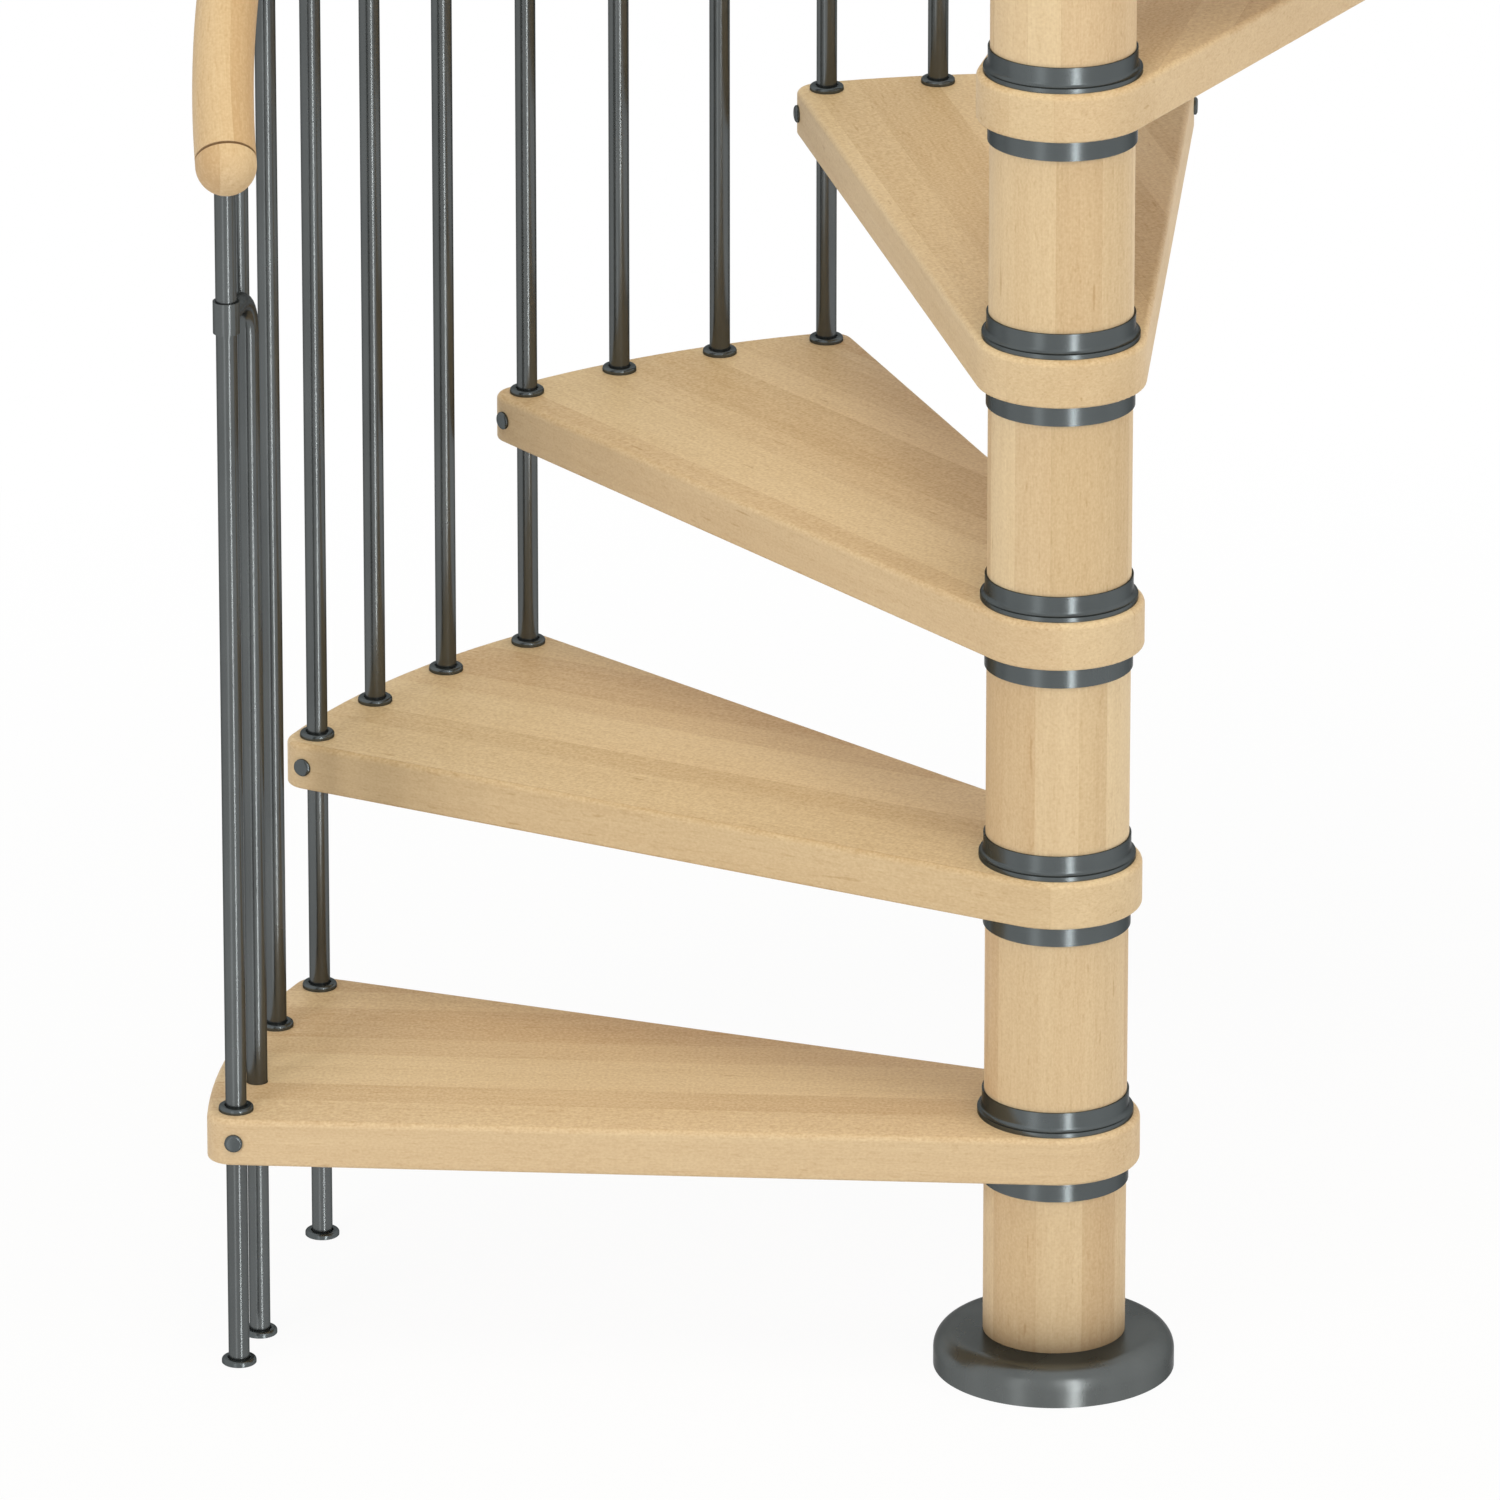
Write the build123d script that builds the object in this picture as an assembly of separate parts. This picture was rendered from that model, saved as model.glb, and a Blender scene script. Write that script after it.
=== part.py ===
"""Spiral staircase: laminated treads and turned sleeves stacked on a centre pole,
slim tube balusters around the rim and a round handrail that follows the rise.

Millimetres and degrees. The origin is on the pole's axis at floor level, +Z is up, the first
tread runs out to -X with its nosing towards -Y, and the treads climb clockwise seen from above.
"""
import os
from math import asin, atan, cos, degrees, radians, sin, sqrt

from build123d import *

# Flight
tread_count = 6
rise = 225.0
step_angle = 24.65
first_tread_angle = 171.4
stair_radius = 700.0

# Treads
tread_thickness = 40.0
tread_taper = 17.0
hub_radius = 70.0
tread_corner_radius = 22.0
tread_upper_round = 5.0
tread_lower_round = 2.5

# Column
pole_diameter = 60.0
sleeve_diameter = 118.0
ring_wall = 1.5
ring_lip = 3.8
ring_lip_height = 4.0
upper_ring_height = 20.5
lower_ring_height = 18.0
base_diameter = 200.0
base_height = 32.0
base_round = 18.0
base_floor = 10.0
cap_height = 22.0
cap_round = 14.0

# Balusters
balusters_per_tread = 3
tube_diameter = 17.5
rim_inset = 24.0
flange_diameter = 29.0
flange_height = 5.0
flange_round = 3.4
tube_seat_share = 0.6
floor_post_seat_share = 0.25
screw_cap_diameter = 15.0
screw_cap_height = 3.0
screw_cap_round = 1.2

# Handrail
handrail_diameter = 50.0
handrail_height = 900.0
handrail_overhang = 68.0
end_cap_neck = 7.0

# Brace beside the first post
brace_inset = 12.3
brace_offset = 64.0
brace_height_share = 0.767
brace_bend_radius = 34.0
brace_collar_wall = 2.0
brace_collar_height = 27.0

# Fits, and how far a cutting shape runs past the faces that it cuts
fit_gap = 0.3
cut_overrun = 20.0

# Worked out from the sizes above
tube_radius = tube_diameter / 2
hole_radius = tube_radius + fit_gap
pole_radius = pole_diameter / 2
bore_radius = pole_radius + fit_gap
sleeve_radius = sleeve_diameter / 2
ring_bore_radius = sleeve_radius + fit_gap
ring_radius = ring_bore_radius + ring_wall
handrail_radius = handrail_diameter / 2
baluster_circle = stair_radius - rim_inset
baluster_angle = step_angle / balusters_per_tread
baluster_rise = rise / balusters_per_tread
first_baluster_angle = first_tread_angle + step_angle / 2
handrail_slope = degrees(atan(rise / (baluster_circle * radians(step_angle))))
handrail_overhang_angle = degrees(handrail_overhang / baluster_circle)
tube_seat = tread_thickness * tube_seat_share
column_top = tread_count * rise + rise - tread_thickness
part_dir = "parts"


def polar(radius, angle, height=0.0):
    """Point at a radius, plan angle and height about the pole."""
    return (radius * cos(radians(angle)), radius * sin(radians(angle)), height)


def tread_top(number):
    """Height of the walking face of a tread, the first being number 1."""
    return number * rise


def tread_angle(number):
    """Plan direction of a tread's centre line."""
    return first_tread_angle - step_angle * (number - 1)


def handrail_axis_height(angle):
    """Height of the handrail's axis above the floor at a plan angle."""
    climbed = first_baluster_angle - angle
    return rise + handrail_height + rise * climbed / step_angle


def rail_frame(angle):
    """Plane square to the handrail at a plan angle, its Z pointing up the rail."""
    slope = radians(handrail_slope)
    turn = radians(angle)
    up_rail = (sin(turn) * cos(slope), -cos(turn) * cos(slope), sin(slope))
    return Plane(origin=polar(baluster_circle, angle, handrail_axis_height(angle)), z_dir=up_rail)


def upright(radius, angle, bottom, top, tube=tube_radius):
    """Vertical round bar between two heights at a polar place."""
    return Pos(polar(radius, angle, bottom)) * Cylinder(
        tube, top - bottom, align=(Align.CENTER, Align.CENTER, Align.MIN)
    )


def turned(outline):
    """Solid turned about the pole's axis from the edges of a closed radius and height outline."""
    return revolve(Plane.XZ * make_face(outline), Axis.Z)


def tube_ring(inner, outer, bottom, top):
    """Plain round ring about the pole's axis."""
    corners = [(inner, bottom), (outer, bottom), (outer, top), (inner, top)]
    return turned(Polyline(*corners, close=True))


def export(name, solids):
    """Write one named piece, or one set of like pieces, as a STEP file."""
    shape = Compound(children=list(solids)) if len(solids) > 1 else solids[0]
    export_step(shape, os.path.join(part_dir, name + ".step"))


def tread_blank():
    """Tread along +X: straight edges tangent to the round hub, rim on the stair's circle."""
    half_taper = tread_taper / 2
    corner_angle = half_taper + degrees(asin(hub_radius / stair_radius))
    front_hub = polar(hub_radius, 90 + half_taper)
    front_rim = polar(stair_radius, corner_angle)
    rear_rim = polar(stair_radius, -corner_angle)
    rear_hub = polar(hub_radius, -90 - half_taper)
    outline = make_face(
        [
            Line(front_hub, front_rim),
            ThreePointArc(front_rim, polar(stair_radius, 0), rear_rim),
            Line(rear_rim, rear_hub),
            ThreePointArc(rear_hub, polar(hub_radius, 180), front_hub),
        ]
    )
    corners = outline.vertices().sort_by(SortBy.DISTANCE)[-2:]
    outline = fillet(corners, tread_corner_radius)
    board = extrude(outline, amount=tread_thickness)
    faces = board.faces().sort_by(Axis.Z)
    board = fillet(faces[-1].edges(), tread_upper_round)
    board = fillet(board.faces().sort_by(Axis.Z)[0].edges(), tread_lower_round)
    return board - upright(0, 0, -cut_overrun, tread_thickness + cut_overrun, bore_radius)


def bored_tread():
    """Tread with its baluster holes: front right through, the others part way from the top."""
    tread = tread_blank()
    front = step_angle / 2
    above = tread_thickness + cut_overrun
    tread -= upright(baluster_circle, front, -cut_overrun, above, hole_radius)
    for place in range(1, balusters_per_tread + 1):
        angle = front - place * baluster_angle
        tread -= upright(baluster_circle, angle, tread_thickness - tube_seat, above, hole_radius)
    return tread


def placed_on_tread(number, shape):
    """Turn a shape made along +X to a tread's direction and lift it to the tread's underside."""
    return Pos(0, 0, tread_top(number) - tread_thickness) * Rot(0, 0, tread_angle(number)) * shape


def baluster(index, bottom):
    """Tube from a height up to the handrail, its top hollowed to fit the rail's underside."""
    angle = first_baluster_angle - index * baluster_angle
    axis_height = handrail_axis_height(angle)
    tube = upright(baluster_circle, angle, bottom, axis_height - handrail_radius / 2)
    return tube - rail_frame(angle) * Cylinder(handrail_radius + fit_gap, handrail_diameter * 2)


def flange(place):
    """Round-topped rosette around a tube, standing on a face at the given place."""
    disc = upright(0, 0, 0, flange_height, flange_diameter / 2)
    disc = fillet(disc.faces().sort_by(Axis.Z)[-1].edges(), flange_round)
    return Pos(place) * (disc - upright(0, 0, -cut_overrun, flange_height + cut_overrun, hole_radius))


def screw_cap(number, side):
    """Cap of the locking screw on a tread's front (+1) or rear (-1) edge, beside its tube."""
    edge_angle = side * tread_taper / 2
    tube_offset = side * step_angle / 2 - edge_angle
    along = baluster_circle * cos(radians(tube_offset))
    disc = upright(0, 0, 0, screw_cap_height, screw_cap_diameter / 2)
    disc = fillet(disc.faces().sort_by(Axis.Z)[-1].edges(), screw_cap_round)
    on_edge = Plane(origin=(along, side * hub_radius, tread_thickness / 2), z_dir=(0, side, 0))
    return placed_on_tread(number, Rot(0, 0, edge_angle) * (on_edge * disc))


def upper_ring(number):
    """Grey collar on a tread: a plain band with a hollow flare down to a thin lip."""
    foot = tread_top(number)
    top = foot + upper_ring_height
    lip_radius = ring_radius + ring_lip
    lip_top = foot + ring_lip_height
    flare_top = lip_top + ring_lip
    flare_share = sqrt(0.5)
    flare_mid = (lip_radius - ring_lip * flare_share, flare_top - ring_lip * flare_share)
    return turned(
        [
            Line((ring_bore_radius, foot), (lip_radius, foot)),
            Line((lip_radius, foot), (lip_radius, lip_top)),
            ThreePointArc((lip_radius, lip_top), flare_mid, (ring_radius, flare_top)),
            Line((ring_radius, flare_top), (ring_radius, top)),
            Line((ring_radius, top), (ring_bore_radius, top)),
            Line((ring_bore_radius, top), (ring_bore_radius, foot)),
        ]
    )


def lower_ring(number):
    """Plain grey collar under a tread."""
    top = tread_top(number) - tread_thickness
    return tube_ring(ring_bore_radius, ring_radius, top - lower_ring_height, top)


def sleeve(bottom, top):
    """Turned sleeve around the pole between two treads."""
    return tube_ring(bore_radius, sleeve_radius, bottom, top)


def base_cover():
    """Flat-topped floor cover with a full round shoulder and a socket for the pole."""
    body = upright(0, 0, 0, base_height, base_diameter / 2)
    body = fillet(body.faces().sort_by(Axis.Z)[-1].edges(), base_round)
    return body - upright(0, 0, base_floor, base_height + cut_overrun, bore_radius)


def column_cap():
    """Grey cap that closes the top of the column."""
    body = upright(0, 0, column_top, column_top + cap_height, ring_radius)
    return fillet(body.faces().sort_by(Axis.Z)[-1].edges(), cap_round)


def handrail(start_angle, end_angle):
    """Round rail swept along the flight's helix between two plan angles."""
    sweep_angle = start_angle - end_angle
    pitch = rise * 360 / step_angle
    path = Helix(pitch, pitch * sweep_angle / 360, baluster_circle, lefthand=True)
    path = Pos(0, 0, handrail_axis_height(start_angle)) * Rot(0, 0, start_angle) * path
    return sweep(rail_frame(start_angle) * Circle(handrail_radius), path=path)


def end_cap(angle, side):
    """Domed end of the handrail, pointing down (-1) or up (+1) the rail."""
    neck_align = Align.MIN if side > 0 else Align.MAX
    neck = Cylinder(handrail_radius, end_cap_neck, align=(Align.CENTER, Align.CENTER, neck_align))
    dome = Pos(0, 0, side * end_cap_neck) * Sphere(handrail_radius)
    keep = Pos(0, 0, side * handrail_diameter) * Box(
        handrail_diameter * 2, handrail_diameter * 2, handrail_diameter * 2
    )
    return rail_frame(angle) * ((neck + dome) & keep)


def brace_place():
    """Plan angle and radius of the brace tube behind the first post."""
    radius = baluster_circle - brace_inset
    return radius, first_baluster_angle - degrees(brace_offset / radius)


def start_brace(collar_height, foot):
    """Tube beside the first post that bends over at the top to meet its collar."""
    radius, angle = brace_place()
    foot_point = Vector(polar(radius, angle, foot))
    post = Vector(polar(baluster_circle, first_baluster_angle, foot))
    reach = post - foot_point
    towards = reach.normalized()
    collar_radius = hole_radius + brace_collar_wall
    bend_start = foot_point + Vector(0, 0, collar_height - foot - brace_bend_radius)
    bend_end = foot_point + Vector(0, 0, collar_height - foot) + towards * brace_bend_radius
    arm_end = foot_point + Vector(0, 0, collar_height - foot) + towards * reach.length
    bend_mid = bend_start + Vector(0, 0, brace_bend_radius * sqrt(0.5))
    bend_mid = bend_mid + towards * (brace_bend_radius * (1 - sqrt(0.5)))
    path = Line(foot_point, bend_start)
    path += ThreePointArc(bend_start, bend_mid, bend_end)
    path += Line(bend_end, arm_end)
    tube = sweep(Plane(origin=foot_point, z_dir=(0, 0, 1)) * Circle(tube_radius), path=path)
    cut = upright(baluster_circle, first_baluster_angle, foot, collar_height * 2, collar_radius)
    return tube - cut


def main():
    """Build every piece and write it to its own file."""
    os.makedirs(part_dir, exist_ok=True)

    export("base_cover", [base_cover()])
    export("centre_pole", [upright(0, 0, base_floor, column_top, pole_radius)])
    export("column_cap", [column_cap()])

    sleeve_bottom = base_height
    for number in range(1, tread_count + 2):
        sleeve_top = tread_top(number) - tread_thickness
        export(f"column_sleeve_{number}", [sleeve(sleeve_bottom, sleeve_top)])
        sleeve_bottom = tread_top(number)

    brace_radius, brace_angle = brace_place()
    rear_post_angle = first_baluster_angle - step_angle
    rear_post_top = tread_top(1) - tread_thickness * (1 - floor_post_seat_share)
    tread = bored_tread()
    for number in range(1, tread_count + 1):
        board = placed_on_tread(number, tread)
        if number == 1:
            above = tread_top(number) + cut_overrun
            board -= upright(brace_radius, brace_angle, 0, above, hole_radius)
            board -= upright(baluster_circle, rear_post_angle, 0, rear_post_top, hole_radius)
        export(f"tread_{number}", [board])
        export(f"upper_ring_{number}", [upper_ring(number)])
        export(f"lower_ring_{number}", [lower_ring(number)])

    flanges = []
    for number in range(1, tread_count + 1):
        tubes = []
        first = (number - 1) * balusters_per_tread
        last = first + balusters_per_tread + (1 if number == tread_count else 0)
        for index in range(first, last):
            angle = first_baluster_angle - index * baluster_angle
            flanges.append(flange(polar(baluster_circle, angle, tread_top(number))))
            bottom = tread_top(number) - tube_seat
            if index == first and number == 1:
                bottom = 0.0
            elif index == first:
                bottom = tread_top(number - 1) - tube_seat
                flanges.append(flange(polar(baluster_circle, angle, tread_top(number - 1))))
            tubes.append(baluster(index, bottom))
        export(f"balusters_{number}", tubes)
    export("baluster_flanges", flanges)

    export("rear_floor_post", [upright(baluster_circle, rear_post_angle, 0, rear_post_top)])
    floor_places = [
        polar(baluster_circle, first_baluster_angle),
        polar(brace_radius, brace_angle),
        polar(baluster_circle, rear_post_angle),
    ]
    export("floor_flanges", [flange(place) for place in floor_places])

    collar_height = rise + handrail_height * brace_height_share
    collar_radius = hole_radius + brace_collar_wall
    half_collar = brace_collar_height / 2
    collar = upright(
        baluster_circle,
        first_baluster_angle,
        collar_height - half_collar,
        collar_height + half_collar,
        collar_radius,
    )
    collar -= upright(baluster_circle, first_baluster_angle, 0, collar_height * 2, hole_radius)
    export("brace_collar", [collar])
    export("start_brace", [start_brace(collar_height, 0.0)])

    caps = []
    for number in range(1, tread_count + 1):
        caps += [screw_cap(number, side) for side in (1, -1)]
    export("screw_caps", caps)

    rail_start = first_baluster_angle + handrail_overhang_angle
    rail_end = first_baluster_angle - tread_count * step_angle - handrail_overhang_angle
    export("handrail", [handrail(rail_start, rail_end)])
    export("handrail_end_caps", [end_cap(rail_start, -1), end_cap(rail_end, 1)])


main()
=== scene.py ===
"""Spiral staircase: beech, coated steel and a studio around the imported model."""
from math import cos, pi, radians, sin, sqrt

import bpy
from mathutils import Matrix, Vector


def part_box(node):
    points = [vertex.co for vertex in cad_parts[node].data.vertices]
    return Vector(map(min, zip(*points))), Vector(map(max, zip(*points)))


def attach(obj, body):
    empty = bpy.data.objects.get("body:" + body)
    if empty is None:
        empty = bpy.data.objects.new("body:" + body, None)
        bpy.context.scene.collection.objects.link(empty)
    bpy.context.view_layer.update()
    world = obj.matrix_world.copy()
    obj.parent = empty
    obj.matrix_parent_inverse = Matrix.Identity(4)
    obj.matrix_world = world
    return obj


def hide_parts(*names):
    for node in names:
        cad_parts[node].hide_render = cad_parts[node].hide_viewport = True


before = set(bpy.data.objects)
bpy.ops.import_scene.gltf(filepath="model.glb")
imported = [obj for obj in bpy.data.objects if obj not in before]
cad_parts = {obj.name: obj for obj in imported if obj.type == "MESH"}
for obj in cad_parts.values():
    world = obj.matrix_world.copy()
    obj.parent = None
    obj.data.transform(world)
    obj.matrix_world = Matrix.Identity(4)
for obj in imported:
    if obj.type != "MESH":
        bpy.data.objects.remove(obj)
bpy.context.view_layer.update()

bl_info = {
    "name": "Spiral Staircase",
    "version": (1, 0, 0),
    "blender": (4, 5, 0),
    "location": "3D View > Sidebar > Staircase",
    "description": "Dresses a spiral staircase in laminated beech and coated steel",
    "category": "Object",
}

tread_nodes = sorted(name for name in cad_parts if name.startswith("tread_"))
tread_low, tread_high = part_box("tread_1")
base_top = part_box("base_cover")[1].z
sharp_edge = radians(32)
small_sides = 40
rail_sides = 56
white = (1.0, 1.0, 1.0, 1.0)


class StairSizes(bpy.types.PropertyGroup):
    """Sizes of the flight that the pieces made here follow."""

    treads: bpy.props.IntProperty(
        name="Treads", description="Treads in the flight", default=len(tread_nodes), min=1
    )
    rise: bpy.props.FloatProperty(
        name="Rise", description="Height from one tread to the next",
        default=tread_high.z, unit="LENGTH",
    )
    step_angle: bpy.props.FloatProperty(
        name="Step angle", description="Turn from one tread to the next",
        default=radians(24.65), subtype="ANGLE",
    )
    first_tread_angle: bpy.props.FloatProperty(
        name="First tread", description="Plan direction of the first tread's centre line",
        default=radians(171.4), subtype="ANGLE",
    )
    tread_taper: bpy.props.FloatProperty(
        name="Taper", description="Angle between a tread's two straight edges",
        default=radians(17.0), subtype="ANGLE",
    )
    tread_thickness: bpy.props.FloatProperty(
        name="Tread thickness", description="Thickness of a tread",
        default=tread_high.z - tread_low.z, unit="LENGTH",
    )
    hub_radius: bpy.props.FloatProperty(
        name="Hub radius", description="Radius of a tread's round inner end",
        default=0.070, unit="LENGTH",
    )
    baluster_circle: bpy.props.FloatProperty(
        name="Baluster circle", description="Radius of the circle that the tubes stand on",
        default=0.676, unit="LENGTH",
    )
    balusters_per_tread: bpy.props.IntProperty(
        name="Tubes per tread", description="Tubes on one step of the flight", default=3, min=1
    )
    tube_diameter: bpy.props.FloatProperty(
        name="Tube", description="Outside diameter of a tube", default=0.0175, unit="LENGTH"
    )
    rosette_diameter: bpy.props.FloatProperty(
        name="Rosette", description="Diameter of the rosette at a tube's foot",
        default=0.029, unit="LENGTH",
    )
    rosette_height: bpy.props.FloatProperty(
        name="Rosette height", description="Height of the rosette", default=0.005, unit="LENGTH"
    )
    screw_cap_diameter: bpy.props.FloatProperty(
        name="Screw cap", description="Diameter of a screw cap", default=0.015, unit="LENGTH"
    )
    screw_cap_height: bpy.props.FloatProperty(
        name="Screw cap height", description="How far a screw cap stands out",
        default=0.003, unit="LENGTH",
    )
    handrail_diameter: bpy.props.FloatProperty(
        name="Handrail", description="Diameter of the handrail", default=0.0497, unit="LENGTH"
    )
    handrail_height: bpy.props.FloatProperty(
        name="Handrail height", description="Height of the rail's axis over a tread",
        default=0.900, unit="LENGTH",
    )
    handrail_overhang: bpy.props.FloatProperty(
        name="Overhang", description="Length of rail past the first and the last tube",
        default=0.068, unit="LENGTH",
    )
    end_neck: bpy.props.FloatProperty(
        name="End neck", description="Straight part of the rail's domed end",
        default=0.007, unit="LENGTH",
    )
    seam_width: bpy.props.FloatProperty(
        name="Seam", description="Width of the groove between the rail and its end",
        default=0.0026, unit="LENGTH",
    )
    brace_inset: bpy.props.FloatProperty(
        name="Brace inset", description="How far the brace stands inside the tubes' circle",
        default=0.0123, unit="LENGTH",
    )
    brace_offset: bpy.props.FloatProperty(
        name="Brace offset", description="Distance of the brace behind the first tube",
        default=0.064, unit="LENGTH",
    )


class BeechLook(bpy.types.PropertyGroup):
    """Colours and grain of the lacquered beech."""

    pale: bpy.props.FloatVectorProperty(
        name="Pale", description="Pale wood of a stave", subtype="COLOR", size=4,
        default=(0.850, 0.678, 0.440, 1.0), min=0.0, max=1.0,
    )
    deep: bpy.props.FloatVectorProperty(
        name="Deep", description="Deeper wood of a stave", subtype="COLOR", size=4,
        default=(0.575, 0.393, 0.206, 1.0), min=0.0, max=1.0,
    )
    rosy: bpy.props.FloatVectorProperty(
        name="Rosy", description="Deeper wood of the redder staves", subtype="COLOR", size=4,
        default=(0.590, 0.375, 0.212, 1.0), min=0.0, max=1.0,
    )
    # Dark seam colour; it is also the colour that the painted shade at the lowest sleeve's foot
    # darkens toward.
    seam: bpy.props.FloatVectorProperty(
        name="Seam", description="Dark groove between two turned pieces", subtype="COLOR", size=4,
        default=(0.150, 0.085, 0.040, 1.0), min=0.0, max=1.0,
    )
    tread_stave: bpy.props.FloatProperty(
        name="Tread stave", description="Width of a stave in a tread", default=0.0533, unit="LENGTH"
    )
    turned_stave: bpy.props.FloatProperty(
        name="Turned stave", description="Width of a stave in a sleeve or in the handrail",
        default=0.033, unit="LENGTH",
    )
    depth: bpy.props.FloatProperty(
        name="Depth", description="How deep the wood of treads and sleeves is", default=0.44,
        subtype="FACTOR", min=0.0, max=1.0,
    )
    rail_depth: bpy.props.FloatProperty(
        name="Rail depth", description="How deep the wood of the handrail is", default=0.72,
        subtype="FACTOR", min=0.0, max=1.0,
    )
    tread_contrast: bpy.props.FloatProperty(
        name="Tread contrast", description="Difference in tone from stave to stave in a tread",
        default=0.44, subtype="FACTOR", min=0.0, max=1.0,
    )
    side_contrast: bpy.props.FloatProperty(
        name="Side contrast", description="Difference in tone from stave to stave round a tread",
        default=0.18, subtype="FACTOR", min=0.0, max=1.0,
    )
    turned_contrast: bpy.props.FloatProperty(
        name="Turned contrast", description="Difference in tone from stave to stave in a sleeve",
        default=0.46, subtype="FACTOR", min=0.0, max=1.0,
    )
    rail_contrast: bpy.props.FloatProperty(
        name="Rail contrast", description="Difference in tone from stave to stave in the handrail",
        default=0.50, subtype="FACTOR", min=0.0, max=1.0,
    )
    speckle: bpy.props.FloatProperty(
        name="Speckle", description="Strength of the fine speckle on the treads",
        default=1.1, min=0.0,
    )
    # Painted shade: how far the lowest sleeve's colour darkens toward the seam colour at its foot.
    painted_foot_shade: bpy.props.FloatProperty(
        name="Foot shade", description="How dark the lowest sleeve is where it stands in the base",
        default=0.66, subtype="FACTOR", min=0.0, max=1.0,
    )
    roughness: bpy.props.FloatProperty(
        name="Roughness", description="Roughness of the lacquer", default=0.55,
        subtype="FACTOR", min=0.0, max=1.0,
    )


class SteelLook(bpy.types.PropertyGroup):
    """Colours of the coated steel, the moulded rings and the bare pole."""

    coating: bpy.props.FloatVectorProperty(
        name="Coating", description="Grey coating of tubes and brace", subtype="COLOR",
        size=4, default=(0.123, 0.133, 0.134, 1.0), min=0.0, max=1.0,
    )
    base: bpy.props.FloatVectorProperty(
        name="Base", description="Grey coating of the base cover", subtype="COLOR",
        size=4, default=(0.139, 0.150, 0.149, 1.0), min=0.0, max=1.0,
    )
    moulding: bpy.props.FloatVectorProperty(
        name="Moulding", description="Grey of rings, rosettes and caps", subtype="COLOR",
        size=4, default=(0.112, 0.126, 0.129, 1.0), min=0.0, max=1.0,
    )
    bare: bpy.props.FloatVectorProperty(
        name="Bare steel", description="Steel of the pole inside the column", subtype="COLOR",
        size=4, default=(0.420, 0.425, 0.430, 1.0), min=0.0, max=1.0,
    )
    roughness: bpy.props.FloatProperty(
        name="Roughness", description="Roughness of the satin coating", default=0.25,
        subtype="FACTOR", min=0.0, max=1.0,
    )
    base_roughness: bpy.props.FloatProperty(
        name="Base roughness", description="Roughness of the coating on the base", default=0.28,
        subtype="FACTOR", min=0.0, max=1.0,
    )
    bare_roughness: bpy.props.FloatProperty(
        name="Bare roughness", description="Roughness of the bare pole", default=0.38,
        subtype="FACTOR", min=0.0, max=1.0,
    )


class StageLook(bpy.types.PropertyGroup):
    """Floor, lamps and camera."""

    floor: bpy.props.FloatVectorProperty(
        name="Floor", description="Colour of the plain floor", subtype="COLOR", size=4,
        default=(0.90, 0.90, 0.90, 1.0), min=0.0, max=1.0,
    )
    sky: bpy.props.FloatProperty(
        name="Sky", description="Strength of the even light from all round", default=0.38, min=0.0
    )
    overhead: bpy.props.FloatProperty(
        name="Overhead", description="Power of the overhead softbox", default=70.0, min=0.0
    )
    rear: bpy.props.FloatProperty(
        name="Rear", description="Power of the softbox over the rear", default=18.0, min=0.0
    )
    overhead_colour: bpy.props.FloatVectorProperty(
        name="Overhead colour", description="Warm light of the two softboxes overhead",
        subtype="COLOR", default=(1.0, 0.91, 0.66), min=0.0, max=1.0,
    )
    left: bpy.props.FloatProperty(
        name="Left", description="Power of the softbox at the front left", default=77.0, min=0.0
    )
    right: bpy.props.FloatProperty(
        name="Right", description="Power of the softbox at the right", default=46.0, min=0.0
    )
    key: bpy.props.FloatProperty(
        name="Key", description="Power of the tall strip at the front right", default=63.0, min=0.0
    )
    fill: bpy.props.FloatProperty(
        name="Fill", description="Power of the wider strip at the front left", default=12.0, min=0.0
    )
    lens: bpy.props.FloatProperty(
        name="Lens", description="Focal length in millimetres", default=368.5, min=1.0
    )
    camera_place: bpy.props.FloatVectorProperty(
        name="Camera", description="Where the camera stands",
        subtype="TRANSLATION", unit="LENGTH", default=(0.5173, -11.776, 4.889),
    )
    camera_tilt: bpy.props.FloatProperty(
        name="Tilt", description="How far the camera looks down",
        default=radians(20.25), subtype="ANGLE",
    )
    camera_turn: bpy.props.FloatProperty(
        name="Turn", description="How far the camera looks to the left",
        default=radians(3.74), subtype="ANGLE",
    )


def polar(radius, angle, height=0.0):
    """Point at a radius, plan angle and height about the pole."""
    return Vector((radius * cos(angle), radius * sin(angle), height))


def first_tube_angle(sizes):
    """Plan angle of the first tube."""
    return sizes.first_tread_angle + sizes.step_angle / 2


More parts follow.
